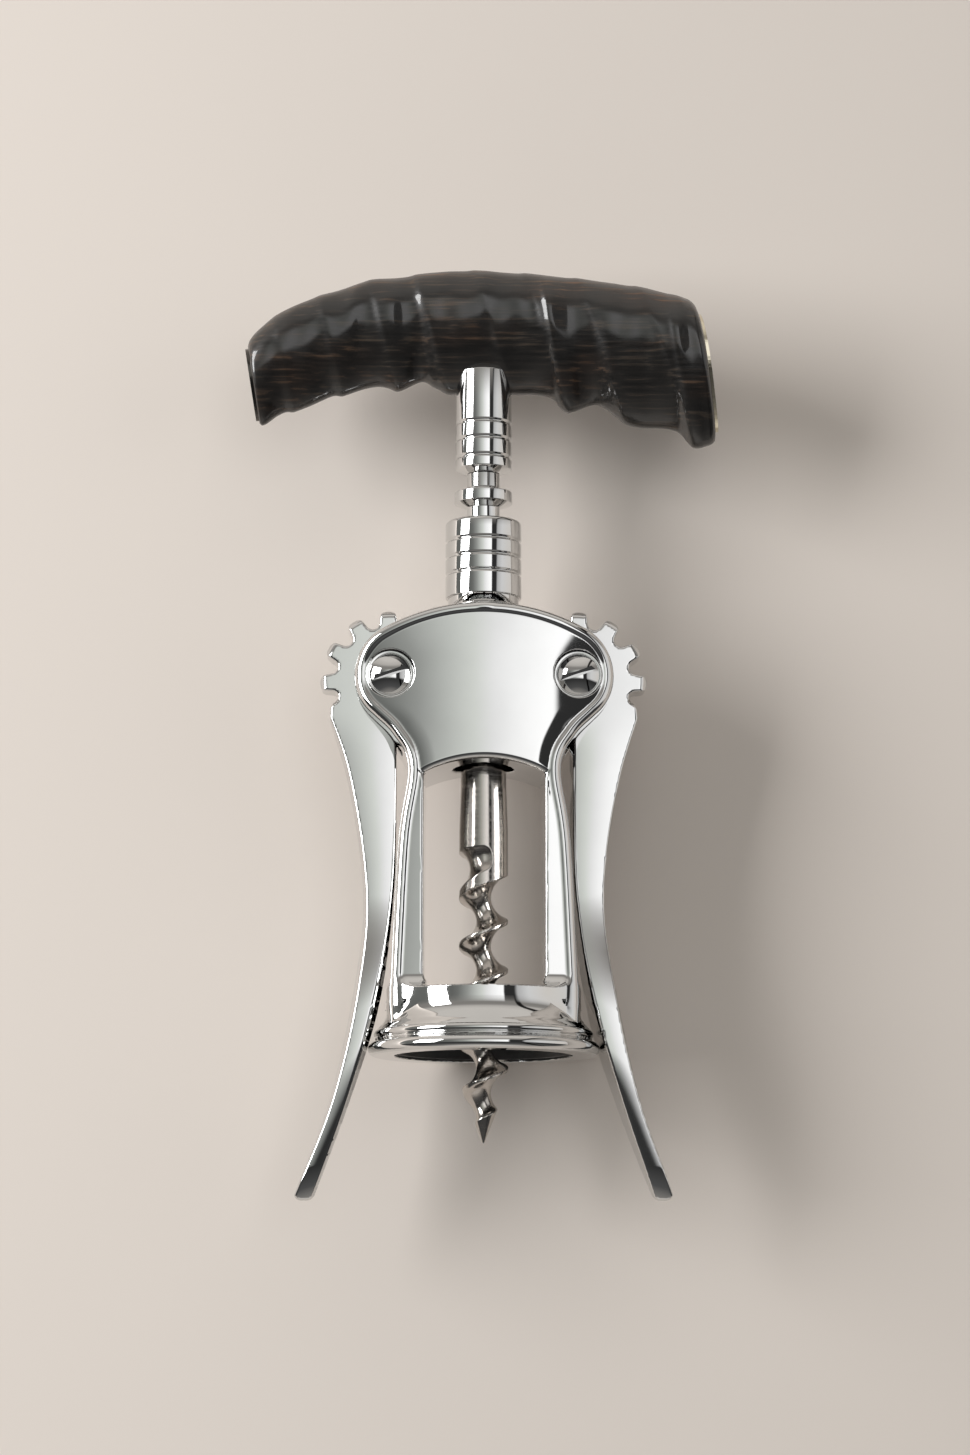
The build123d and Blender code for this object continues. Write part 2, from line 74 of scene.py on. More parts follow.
head_seat_z, head_seat_r = 8.75, 4.63
bead_half, bead_proud, bead_fillet = 1.2, 0.3, 0.3
edge_roll, roll_w, roll_from, roll_run, roll_end, roll_end_run = 0.22, 3.0, 46, 8, 62, 6
bulge_from, bulge_run, flatter_from, flatter_run = 38, 16, 73, 10
window_edge, arch_edge, arch_edge_from, arch_edge_run = 0.45, 0.8, 51, 3
foot_fillet, foot_fillet_more, foot_fillet_run = 0.2, 2.8, 4
shaft_hole_foot_y, pocket_edge, head_seat_edge = 45, 0.3, 0.15
boss_foot_y, boss_narrow, boss_fillet = 84.8, 1.6, 0.6
boss_line = [(12.5, 84.9), (12.1, 85.5), (10.4, 86.8), (8.7, 88.1), (8.0, 88.6)]

# Collar, rack and ferrule
collar_r, collar_top_y, collar_bore_r, collar_foot_y, collar_spigot_r = 7.4, 103.8, 5.85, 83.6, 6.88
rack_bore_r, rack_core_r, rack_ring_r, rack_foot_y, rack_top_y = 2.25, 3.2, 5.65, 61.03, 113.35
rack_rings, rack_pitch, top_ring_y, ring_foot_half, ring_tip_half = 8, 6.52, 108.6, 1.94, 1.05
ferrule_r, ferrule_foot_y, ferrule_top_y, ferrule_bore_r = 5.5, 114.3, 133.8, 2.22

# Pivot heads and washers
head_ring_r, head_ring_t, dome_r, dome_h = 4.55, 0.6, 3.85, 1.5
slot_size, slot_rise, slot_turn, slot_tilt = (9.0, 0.95, 1.7), 1.85, 18, 20
barrel_bore_r, barrel_bore_end = 1.52, 1.2
washer_bore_r, washer_r, washer_from, washer_to = 2.56, 5.2, 3.25, 3.6

# Levers
gear_tip_r, gear_root_r, tooth_angle, first_tooth, lever_teeth = 13.6, 10.5, 30, -27.5, 8
lever_crown, lever_skew = 0.3, 0.09
lever_t, lever_swell, swell_from, swell_l = 6.4, 3.5, 37.0, 32.0
nose_from, nose_slope, tip_from = 67.0, 0.167, 93.0
nose_soft, tip_fall = 6, 0.035
arm_from, arm_run, crown_w = 2, 14, 10
chamfer_slope, chamfer_t, chamfer_foot_y = 0.7, 1.2, -4.5
lever_edge, lever_hole_r = 0.5, 2.55
tooth_side = [(gear_root_r, 9.8), (13.05, 6.9), (gear_tip_r, 3.4)]
arm_outer = [(-12.4, -5.4), (-7.9, -20.0), (-4.9, -41.5), (-6.6, -59.9), (-11.1, -80.5), (-17.9, -98.5)]
arm_inner = [
    (-14.2, -99.0), (-7.1, -79.1), (-2.0, -61.5), (0.5, -42.3), (1.0, -27.0), (1.0, -17.2), (1.0, -10.5),
]

# Worm
worm_pitch, groove_core_r, groove_tool_r, groove_top_y, groove_draw = 9.35, 1.4, 4.3, 37.4, 2.8
draw_turns, draw_run = 0.5, 0.6
flight_r, shank_r, rod_r = 4.7, 4.4, 2.2
worm_tip_y, worm_tip_r, worm_taper_y, flight_top_y, shank_foot_y = -16.4, 0.15, -5.0, 43, 52


# Mesh helpers
def mesh_object(name, points, faces):
    """Object from points in millimetres."""
    mesh = bpy.data.meshes.new(name)
    mesh.from_pydata([tuple(p) for p in np.asarray(points) * MM], [], [tuple(f) for f in faces])
    mesh.update()
    obj = bpy.data.objects.new(name, mesh)
    bpy.context.scene.collection.objects.link(obj)
    return obj


def dress(obj, body, node, material, sharp=35):
    """Shading, material and place in the assembly of a piece that stands for a CAD node."""
    mesh = obj.data
    mesh.materials.clear()
    mesh.materials.append(material)
    mesh.shade_smooth()
    if sharp:
        mesh.set_sharp_from_angle(angle=radians(sharp))
    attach(obj, body)
    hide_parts(node)
    return obj


def smooth_line(points, per_span=12):
    """Catmull-Rom line through points."""
    p = np.array([2 * np.array(points[0]) - np.array(points[1]), *points,
                  2 * np.array(points[-1]) - np.array(points[-2])], float)
    line = []
    for a, b, c, d in zip(p, p[1:], p[2:], p[3:]):
        for t in np.arange(per_span) / per_span:
            line.append(0.5 * (2 * b + (c - a) * t + (2 * a - 5 * b + 4 * c - d) * t**2
                               + (3 * b - a - 3 * c + d) * t**3))
    return np.array([*line, p[-2]])


def arc(centre, radius, start, stop, count):
    angles = np.radians(np.linspace(start, stop, count))
    return np.column_stack([centre[0] + radius * np.cos(angles), centre[1] + radius * np.sin(angles)])


def cut_corners(points, times):
    """Rounds a closed outline by cutting its corners."""
    for _ in range(times):
        after = np.roll(points, -1, axis=0)
        points = np.stack([0.75 * points + 0.25 * after, 0.25 * points + 0.75 * after], 1).reshape(-1, 2)
    return points


# Distances, negative inside a solid
def line_distance(x, y, line):
    best = np.full(x.shape, np.inf)
    for (ax, ay), (bx, by) in zip(line, line[1:]):
        ex, ey = bx - ax, by - ay
        t = np.clip(((x - ax) * ex + (y - ay) * ey) / (ex * ex + ey * ey), 0, 1)
        best = np.minimum(best, (x - ax - ex * t) ** 2 + (y - ay - ey * t) ** 2)
    return np.sqrt(best)


def outline_distance(x, y, outline):
    ring = np.array([*outline, outline[0]])
    inside = np.zeros(x.shape, bool)
    for (ax, ay), (bx, by) in zip(ring, ring[1:]):
        if ay != by:
            inside ^= ((ay > y) != (by > y)) & (x - ax < (bx - ax) * (y - ay) / (by - ay))
    return np.where(inside, -1, 1) * line_distance(x, y, ring)


def smooth_share(value):
    value = np.clip(value, 0, 1)
    return value**2 * (3 - 2 * value)


def both(a, b, edge):
    """Common part of two solids, its edge rounded."""
    return np.minimum(np.maximum(a, b), -edge) + np.hypot(np.maximum(a + edge, 0), np.maximum(b + edge, 0))


def joined(a, b, fillet):
    """Two solids together, with a fillet between them."""
    near = np.hypot(np.maximum(fillet - a, 0), np.maximum(fillet - b, 0))
    return np.maximum(np.minimum(a, b), fillet) - near


def refine(mesh, fine):
    bm = bmesh.new()
    bm.from_mesh(mesh)
    bm.verts.ensure_lookup_table()
    chosen = fine(np.array([v.co for v in bm.verts]))
    edges = {edge for face in bm.faces if all(chosen[v.index] for v in face.verts) for edge in face.edges}
    bmesh.ops.subdivide_edges(bm, edges=list(edges), cuts=1, use_grid_fill=True)
    bm.to_mesh(mesh)
    bm.free()


def cast(name, node, voxel, distance, finer=(), rounds=12, reach=0.4, nudge=0.01, blur=0.08):
    """Dense skin of a cast piece: the CAD node's mesh, drawn onto the surface where the distance is zero.

    Each test in finer makes the skin twice as dense where it holds.
    """
    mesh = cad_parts[node].data.copy()
    mesh.transform(Matrix.Scale(1 / MM, 4))
    obj = bpy.data.objects.new(name, mesh)
    bpy.context.scene.collection.objects.link(obj)
    remesh = obj.modifiers.new("skin", "REMESH")
    remesh.mode = "VOXEL"
    remesh.voxel_size = voxel
    skin = bpy.data.meshes.new_from_object(obj.evaluated_get(bpy.context.evaluated_depsgraph_get()))
    obj.modifiers.clear()
    obj.data = skin
    bpy.data.meshes.remove(mesh)
    for fine in finer:
        refine(skin, fine)
    points = np.zeros(len(skin.vertices) * 3)
    skin.vertices.foreach_get("co", points)
    points = points.reshape(-1, 3)
    off = np.arange(len(points))
    settled, least_slope = 0.003, 0.2
    for _ in range(rounds):
        value = distance(points[off])
        off, value = off[np.abs(value) > settled], value[np.abs(value) > settled]
        slope = np.column_stack([distance(points[off] + nudge * axis) - value for axis in np.eye(3)]) / nudge
        step = value / np.maximum((slope**2).sum(1), least_slope)
        points[off] -= slope * np.clip(step, -reach, reach)[:, None]
    skin.vertices.foreach_set("co", (points * MM).ravel())
    skin.update()
    skin.name = name
    slope = np.column_stack([
        distance(points + blur * axis) - distance(points - blur * axis) for axis in np.eye(3)
    ])
    skin.shade_smooth()
    skin.normals_split_custom_set_from_vertices(slope / np.linalg.norm(slope, axis=1)[:, None])
    return obj


# Outlines
lobe_x = pivot_x + lobe_reach - lobe_r
plate_top_cy = pivot_y - sqrt((plate_top_r - lobe_r) ** 2 - lobe_x**2)
lobe_start = degrees(acos(lobe_x / (plate_top_r - lobe_r)))
lobe_end = arc((lobe_x, pivot_y), lobe_r, 0, -lobe_turn, 2)[1]
far = -60.0
frame_outline = np.array([
    (far, plate_top_cy + plate_top_r),
    *arc((0, plate_top_cy), plate_top_r, 90, lobe_start, 24)[:-1],
    *arc((lobe_x, pivot_y), lobe_r, lobe_start, -lobe_turn, 40),
    *smooth_line([lobe_end, hip, waist, calf, (ring_r, ring_top_y)], 14)[1:],
    (ring_r, far), (far, far),
])
bell_outline = np.array([
    (far, 0), *arc((rim_r - rim_h / 2, rim_h / 2), rim_h / 2, -90, 75, 40),
    *smooth_line([(20.75, 2.75), (20.45, 2.95), (20.4, 3.1)], 6),
    *arc((20.0, 4.0), 0.9, -60, 60, 24), (flare_r, 5.1),
    *smooth_line([(19.95, 5.4), (19.2, 6.3), flare_hollow, (17.8, 10.0), (ring_r, ring_top_y)], 12),
    (far, ring_top_y),
])
boss_outline = np.array([
    (far, boss_foot_y), (boss_line[0][0], boss_foot_y), *smooth_line(boss_line, 8), (far, seat_y),
])


def frame_distance(p):
    x, y, z = np.abs(p[:, 0]), p[:, 1], np.abs(p[:, 2])
    axis_r = np.hypot(x, z)
    pivot_r = np.hypot(x - pivot_x, y - pivot_y)
    edge = outline_distance(x, y, frame_outline)
    sag = leg_half_t + (housing_half_t - leg_half_t) * np.clip(y / arch_y, 0, 1)
    bulge_w = leg_bulge_w + (bulge_half_w - leg_bulge_w) * smooth_share((y - bulge_from) / bulge_run)
    bulge_w = bulge_w + top_flatter * smooth_share((y - flatter_from) / flatter_run)
    bend_r = (bulge_w**2 + sag**2) / (2 * sag)
    begun = smooth_share((y - roll_from) / roll_run)
    roll = edge_roll * begun * (1 - smooth_share((y - roll_end) / roll_end_run))
    roll = roll * np.clip((edge + roll_w + 2 * bead_half) / roll_w, 0, 1) ** 2
    face = np.hypot(x, z + bend_r - sag) - bend_r + roll
    plate = both(edge + bead_half, face, bead_half)
    bead = np.hypot(edge + bead_half, np.maximum(face + bead_half - bead_proud, 0)) - bead_half
    solid = joined(plate, bead, bead_fillet)
    arch_r = (window_half_w**2 + arch_rise**2) / (2 * arch_rise)
    arch_cy = arch_y + arch_rise - arch_r
    window_w = window_half_w - window_draft * (leg_half_t - z)
    window = np.maximum(x - window_w, np.hypot(x, np.maximum(y - arch_cy, 0)) - arch_r)
    arch_round = arch_edge * smooth_share((y - arch_edge_from) / arch_edge_run)
    solid = both(solid, -window, window_edge + arch_round)
    bell = outline_distance(axis_r, y, bell_outline)
    fillet = foot_fillet + foot_fillet_more * smooth_share((y - leg_foot_y) / foot_fillet_run)
    solid = joined(np.maximum(solid, leg_foot_y - y), bell, fillet)
    boss = outline_distance(np.hypot(boss_narrow * x, z), y, boss_outline)
    solid = joined(solid, boss, boss_fillet)
    cuts = [
        np.maximum(axis_r - mouth_r, y - insert_seat_y),
        np.maximum(axis_r - bell_bore_r, y - ring_top_y),
        np.maximum(axis_r - shaft_hole_r, shaft_hole_foot_y - y),
        np.maximum(axis_r - spigot_r, seat_y - spigot_l - y),
        pivot_r - lever_hole_r,
    ]
    for cut in cuts:
        solid = np.maximum(solid, -cut)
    solid = both(solid, -np.maximum(pivot_r - pocket_r, z - slot_half), pocket_edge)
    return both(solid, -np.maximum(pivot_r - head_seat_r, head_seat_z - z), head_seat_edge)


def frame_detail(p):
    """Where the frame has narrow mouldings: bell, beaded edges, arch, screw seats and boss."""
    x, y, z = np.abs(p[:, 0]), p[:, 1], np.abs(p[:, 2])
    edge = outline_distance(x, y, frame_outline)
    arch = (y > arch_y - 3) & (y < arch_y + arch_rise + 2) & (x < window_half_w + 1)
    arch &= z > housing_half_t - 4
    seat = (np.hypot(x - pivot_x, y - pivot_y) < head_seat_r + 1) & (z > head_seat_z - 2)
    boss = (y > boss_foot_y - 1) & (np.hypot(x, z) < 14)
    return (y < ring_top_y + 3) | ((edge > -3) & (z > slot_half + 1)) | arch | seat | boss


def frame_edges(p):
    """Where the frame has its finest edges: the rim's grooves, the screw seats and the collar's foot."""
    x, y, z = np.abs(p[:, 0]), p[:, 1], np.abs(p[:, 2])
    axis_r = np.hypot(x, z)
    rim = (y < flare_y + 1) & (axis_r > flare_hollow[0])
    seat = (np.abs(np.hypot(x - pivot_x, y - pivot_y) - head_seat_r) < 0.6) & (z > head_seat_z - 0.5)
    foot = (y > boss_foot_y) & (axis_r < 13)
    return rim | seat | foot


outer_line, inner_line = smooth_line(arm_outer, 7), smooth_line(arm_inner, 7)


def lever_outline_points():
    """Outline of the left lever, measured from its pivot: toothed sector, outer edge, tip, inner edge."""
    def polar(radius, angle):
        return radius * cos(radians(angle)), radius * sin(radians(angle))

    corners = [polar(gear_root_r, angle) for angle in (-75, -60, -45)]
    for i in range(lever_teeth):
        angle = first_tooth + i * tooth_angle
        for radius, turn in tooth_side:
            corners.append(polar(radius, angle - turn))
        for radius, turn in tooth_side[::-1]:
            corners.append(polar(radius, angle + turn))
    corners.append((-10.0, -3.9))
    sector = cut_corners(np.array([arm_inner[-1], *corners, arm_outer[0], (0, 0)]), 2)
    sector = sector[2:-10]
    tip = [(-17.4, -99.2), (-16.6, -99.45), (-15.2, -99.4)]
    return np.array([*sector, *outer_line[1:], *tip, *inner_line[:-1]])


lever_outline = lever_outline_points()


def lever_distance(p):
    """Left lever: crowned faces, an arm that swells low down, and tooth tips chamfered front and rear."""
    y, z = p[:, 1] - pivot_y, np.abs(p[:, 2])
    arm_share = smooth_share((-y - arm_from) / arm_run)
    x = p[:, 0] + pivot_x - lever_skew * arm_share * p[:, 2]
    edge = outline_distance(x, y, lever_outline)
    hub_r = np.hypot(x, y)
    from_outer, from_inner = line_distance(x, y, outer_line), line_distance(x, y, inner_line)
    arm_w = from_outer + from_inner
    across = (from_outer - from_inner) / arm_w
    arm_fall = arm_share * across**2 * arm_w / crown_w
    fall = lever_crown * ((1 - arm_share) * (hub_r / gear_tip_r) ** 2 + arm_fall)
    down = np.maximum(-y - np.array([[nose_from], [tip_from]]), 0)
    nose = nose_slope * (np.hypot(down[0], nose_soft) - nose_soft) + tip_fall * down[1] ** 2
    half_t = lever_t / 2 + lever_swell * smooth_share((-y - swell_from) / swell_l) - nose - fall
    tips = hub_r - gear_tip_r + chamfer_slope * np.maximum(z - half_t + chamfer_t, 0)
    edge = np.where(y > chamfer_foot_y, np.maximum(edge, tips), edge)
    solid = both(edge, z - half_t, lever_edge)
    return np.maximum(solid, lever_hole_r - hub_r)


# Turned pieces
def rounded(profile, steps=5):
    """Turns corners with a third value into arcs of that radius."""
    line = []
    for i, (r, h, *turn) in enumerate(profile):
        if not turn:
            line.append((r, h))
            continue
        corner = np.array((r, h), float)
        before = np.array(profile[i - 1][:2], float) - corner
        after = np.array(profile[(i + 1) % len(profile)][:2], float) - corner
        before_l, after_l = np.linalg.norm(before), np.linalg.norm(after)
        before, after = before / before_l, after / after_l
        half = acos(np.clip(before @ after, -1, 1)) / 2
        run = min(turn[0] / tan(half), 0.49 * before_l, 0.49 * after_l)
        radius = run * tan(half)
        middle = corner + (before + after) / np.linalg.norm(before + after) * radius / sin(half)
        start, stop = corner + before * run - middle, corner + after * run - middle
        a0, a1 = atan2(start[1], start[0]), atan2(stop[1], stop[0])
        sweep = (a1 - a0 + pi) % (2 * pi) - pi
        for t in np.linspace(0, 1, steps + 1):
            line.append((middle[0] + radius * cos(a0 + sweep * t), middle[1] + radius * sin(a0 + sweep * t)))
    return line


def lathe(name, profile, segments=128, pivot=None, side=1):
    """Turned piece from a closed profile of radius and height, about the worm axis or about a pivot."""
    line = np.array(rounded(profile))
    angles = np.arange(segments) * 2 * pi / segments
    r, h = line[:, :1], np.repeat(line[:, 1:], segments, 1)
    around, across = r * np.cos(angles), r * np.sin(angles)
    if pivot:
        grid = np.stack([pivot[0] + around, pivot[1] + across * side, side * h], -1)
    else:
        grid = np.stack([across, h, around], -1)
    count = len(line)
    index = np.arange(count * segments).reshape(count, segments)
    faces = []
    for i in range(count):
        low, high = index[i], index[(i + 1) % count]
        for j in range(segments):
            k = (j + 1) % segments
            faces.append((low[j], low[k], high[k], high[j]))
    obj = mesh_object(name, grid.reshape(-1, 3), faces)
    clean(obj)
    return obj


def clean(obj):
    """Merges the points on the axis, drops empty faces and turns the faces outwards."""
    bm = bmesh.new()
    bm.from_mesh(obj.data)
    bmesh.ops.remove_doubles(bm, verts=bm.verts, dist=2e-6)
    bmesh.ops.dissolve_degenerate(bm, edges=bm.edges, dist=1e-6)
    bmesh.ops.recalc_face_normals(bm, faces=bm.faces)
    bm.to_mesh(obj.data)
    bm.free()


def groove(radius, y, depth=0.35, half_w=0.45):
    """Shallow turned groove, for a profile that runs upwards."""
    return [(radius, y - half_w, 0.12), (radius - depth, y, 0.3), (radius, y + half_w, 0.12)]


def cut_slot(obj, centre, z, turn, size):
    """Screwdriver slot across a head."""
    box = bmesh.new()
    bmesh.ops.create_cube(box, size=1)
    bmesh.ops.scale(box, vec=Vector(size) * MM, verts=box.verts)
    bmesh.ops.rotate(box, matrix=Matrix.Rotation(radians(slot_tilt), 3, "X"), verts=box.verts)
    bmesh.ops.rotate(box, matrix=Matrix.Rotation(radians(turn), 3, "Z"), verts=box.verts)
    bmesh.ops.translate(box, vec=Vector((*centre, z)) * MM, verts=box.verts)
    tool_mesh = bpy.data.meshes.new("slot")
    box.to_mesh(tool_mesh)
    box.free()
    tool = bpy.data.objects.new("slot", tool_mesh)
    bpy.context.scene.collection.objects.link(tool)
    cut = obj.modifiers.new("slot", "BOOLEAN")
    cut.operation = "DIFFERENCE"
    cut.solver = "EXACT"
    cut.object = tool
    obj.data = bpy.data.meshes.new_from_object(obj.evaluated_get(bpy.context.evaluated_depsgraph_get()))
    obj.modifiers.clear()
    bpy.data.objects.remove(tool)


def worm_radius(turn, y):
    """Radius of the worm at an angle from the front and a height: tapered blank less the milled groove.

    Over its last half turn the tool draws out of the blank, up to the groove's end at the front.
    """
    blank = np.interp(y, [worm_tip_y, worm_taper_y, flight_top_y, shank_foot_y],
                      [worm_tip_r, flight_r, flight_r, shank_r])
    centre_r = groove_core_r + groove_tool_r
    lead = cos(atan2(worm_pitch, 2 * pi * centre_r))
    radius = blank
    share = (turn / (2 * pi)) % 1
    for lap in range(8):
        turns = share - lap - np.where(share > 0, 1, 0)
        off = (y - groove_top_y - worm_pitch * turns) * lead
        drawn = groove_draw * smooth_share((turns + draw_turns) / draw_run)
        depth = np.sqrt(np.maximum(groove_tool_r**2 - off**2, 0)) - drawn
        radius = np.where(np.abs(off) < groove_tool_r, np.minimum(radius, centre_r - depth), radius)
    end_r = centre_r + groove_draw * smooth_share(draw_turns / draw_run)
    room = groove_tool_r**2 - (y - groove_top_y) ** 2 - (end_r * np.sin(turn)) ** 2
    scoop = end_r * np.cos(turn) - np.sqrt(np.maximum(room, 0))
    radius = np.where((room > 0) & (np.cos(turn) > 0), np.minimum(radius, scoop), radius)
    return np.maximum(radius, worm_tip_r)


def build_worm():
    segments = 144
    turns = np.arange(segments) * 2 * pi / segments
    rows = [*np.arange(worm_tip_y, flight_top_y, 0.2), flight_top_y, 46, 49, shank_foot_y, 60.55]
    rings = [(worm_radius(turns, np.full(segments, y)), y) for y in rows]
    plain = np.ones(segments)
    rings += [(plain * r, y) for r, y in ((4.3, 60.8), (4.1, 60.95), (rod_r, 60.95), (rod_r, 121.4))]
    points = [(r * sin(a), y, r * cos(a)) for radii, y in rings for r, a in zip(radii, turns)]
    faces = []
    for i in range(len(rings) - 1):
        for j in range(segments):
            k = (j + 1) % segments
            faces.append((i * segments + j, i * segments + k, (i + 1) * segments + k, (i + 1) * segments + j))
    faces.append(tuple(range(segments))[::-1])
    faces.append(tuple(range((len(rings) - 1) * segments, len(rings) * segments)))
    obj = mesh_object("worm_auger", points, faces)
    clean(obj)
    return obj


# Horn crossbar: edges read along its length, and rings that lean across it
horn_top = [
    (-47.5, 139.0), (-46.4, 140.4), (-41.9, 144.7), (-34.9, 148.4), (-29.1, 150.3), (-23.4, 152.3),
    (-17.0, 153.1), (-5.5, 154.5), (4.8, 154.2), (13.7, 153.5), (26.4, 152.0), (35.5, 150.3), (43.0, 148.0),
]
horn_bottom = [
    (-43.0, 122.6), (-37.5, 125.9), (-32.3, 127.6), (-25.9, 129.9), (-20.8, 130.7), (-17.0, 130.4),
    (-11.9, 131.9), (-9.3, 130.5), (-6.1, 129.9), (6.0, 129.9), (13.1, 128.6), (15.6, 126.3),
    (22.0, 127.3), (26.4, 124.6), (31.0, 123.0), (37.4, 122.0), (40.6, 119.4), (46.5, 120.0),
]
horn_ring_x = [-38.9, -29.7, -19.5, -10.2, 1.8, 12.2, 22.7, 35.4, 43.5]
horn_left_x, horn_right_x, horn_lean = -45.0, 43.5, 9.0
horn_depth, horn_egg, read_above, read_below, top_trim = 0.68, 0.43, 11, 12, 0.25
ring_h, ring_mean, ring_steep, ring_gentle, ring_fade = 0.8, 0.45, 1.2, 4.5, 3
ring_slant, ring_slant_more = 0.3, 0.0026
horn_edge_round, horn_edge_l = 0.11, 1.6
end_plate_share, plate_proud_left, plate_proud_right, plate_let_in = 0.83, 0.6, 0.65, 0.1


def horn_loft(name, x0, edge_round, share=1.0):
    """Skin over the crossbar's leaning sections at the stations x0."""
    stations, segments = len(x0), 160
    top, bottom = smooth_line(horn_top, 10), smooth_line(horn_bottom, 10)
    lean = tan(radians(horn_lean))
    inside = np.clip(x0, horn_left_x, horn_right_x)
    high = np.interp(inside - read_above * lean, top[:, 0], top[:, 1]) - top_trim
    low = np.interp(inside + read_below * lean, bottom[:, 0], bottom[:, 1])
    half_h = (high - low) / 2
    middle = (high + low) / 2
    turns = np.arange(segments) * 2 * pi / segments
    v = np.cos(turns) * half_h
    u = np.sin(turns) * (1 + horn_egg * np.cos(turns)) * horn_depth * half_h
    end_gap = np.minimum(inside - horn_left_x, horn_right_x - inside)
    ends = share - edge_round * (1 - np.sqrt(1 - (1 - np.clip(end_gap / horn_edge_l, 0, 1)) ** 2))
    across = x0 + v * -lean
    swell = np.zeros(v.shape)
    for ring_x in horn_ring_x:
        off = across - ring_x + v * (ring_slant + ring_slant_more * ring_x)
        swell += ring_h * np.exp(-((off / np.where(off < 0, ring_steep, ring_gentle)) ** 2))
    weight = 0.62 - 0.38 * np.cos(turns)
    wander = 0.26 * np.sin(2 * turns + 2 * np.sin(0.5 * across)) + 0.12 * np.sin(0.8 * across + 3 * turns)
    carving = (swell - ring_mean) * weight + wander * np.sin(turns) ** 2
    grow = ends + carving / half_h * np.clip(end_gap / ring_fade, 0, 1)
    u, v = u * grow, v * grow
    points = np.stack([x0 - v * lean, middle + v, u], -1).reshape(-1, 3)
    index = np.arange(stations * segments).reshape(stations, segments)
    faces = [tuple(index[0])[::-1], tuple(index[-1])]
    for low_ring, high_ring in zip(index, index[1:]):
        for j in range(segments):
            k = (j + 1) % segments
            faces.append((low_ring[j], low_ring[k], high_ring[k], high_ring[j]))
    obj = mesh_object(name, points, faces)
    upward = obj.data.attributes.new("upward", "FLOAT", "POINT")
    upward.data.foreach_set("value", np.repeat(np.cos(turns)[None], stations, 0).ravel())
    clean(obj)
    return obj


def build_horn():
    x0 = np.linspace(horn_left_x, horn_right_x, 260)[:, None]
    return horn_loft("horn_crossbar", x0, horn_edge_round)


def build_end_plate(side_name, outside, inside):
    """Thin plate let into one end of the crossbar."""
    x0 = np.array([[min(outside, inside)], [max(outside, inside)]])
    return horn_loft(f"end_plate_{side_name}", x0, 0, end_plate_share)


# Materials
def node_material(name):
    material = bpy.data.materials.new(name)
    material.use_nodes = True
    nodes, links = material.node_tree.nodes, material.node_tree.links
    return material, nodes, links, nodes["Principled BSDF"]


def noise(nodes, links, scale, detail, stretch=(1, 1, 1), source=None):
    """Noise in object space, stretched along the axes."""
    if source is None:
        source = nodes.new("ShaderNodeTexCoord").outputs["Object"]
    mapping = nodes.new("ShaderNodeMapping")
    mapping.inputs["Scale"].default_value = stretch
    texture = nodes.new("ShaderNodeTexNoise")
    texture.inputs["Scale"].default_value = scale
    texture.inputs["Detail"].default_value = detail
    links.new(source, mapping.inputs["Vector"])
    links.new(mapping.outputs["Vector"], texture.inputs["Vector"])
    return texture.outputs["Fac"]


def spread(nodes, links, value, low, high, start=0.3, stop=0.7):
    level = nodes.new("ShaderNodeMapRange")
    for key, number in (("From Min", start), ("From Max", stop), ("To Min", low), ("To Max", high)):
        level.inputs[key].default_value = number
    links.new(value, level.inputs["Value"])
    return level.outputs["Result"]


def bump(nodes, links, shader, height, strength, distance):
    node = nodes.new("ShaderNodeBump")
    node.inputs["Strength"].default_value = strength
    node.inputs["Distance"].default_value = distance
    links.new(height, node.inputs["Height"])
    links.new(node.outputs["Normal"], shader.inputs["Normal"])


def ramp(nodes, links, value, stops):
    node = nodes.new("ShaderNodeValToRGB")
    while len(node.color_ramp.elements) < len(stops):
        node.color_ramp.elements.new(1)
    for element, (place, colour) in zip(node.color_ramp.elements, stops):
        element.position = place
        element.color = (*colour, 1)
    links.new(value, node.inputs["Fac"])
    return node.outputs["Color"]


def blend(nodes, links, kind, a, b):
    node = nodes.new("ShaderNodeMix")
    node.data_type = "RGBA"
    node.blend_type = kind
    node.inputs["Factor"].default_value = 1
    links.new(a, node.inputs["A"])
    links.new(b, node.inputs["B"])
    return node.outputs["Result"]


def metal(name, colour, rough, grain=(1, 1, 1), scale=90, relief=0.0):
    """Metal whose polish varies, with tool marks along the stretched axis."""
    material, nodes, links, shader = node_material(name)
    shader.inputs["Metallic"].default_value = 1
    marks = noise(nodes, links, scale, 6, grain)
    links.new(spread(nodes, links, marks, rough * 0.6, rough * 1.5), shader.inputs["Roughness"])
    light = tuple(min(1, c * 1.06) for c in colour)
    links.new(ramp(nodes, links, marks, [(0.3, colour), (0.7, light)]), shader.inputs["Base Color"])
    if relief:
        bump(nodes, links, shader, marks, relief, 0.0002)
    return material


def plastic(name, colour, rough):
    material, nodes, links, shader = node_material(name)
    grain = noise(nodes, links, 900, 3)
    light = tuple(c * 1.5 + 0.004 for c in colour)
    links.new(ramp(nodes, links, grain, [(0.35, colour), (0.65, light)]), shader.inputs["Base Color"])
    links.new(spread(nodes, links, grain, rough * 0.85, rough * 1.15), shader.inputs["Roughness"])
    bump(nodes, links, shader, grain, 0.15, 0.0002)
    return material


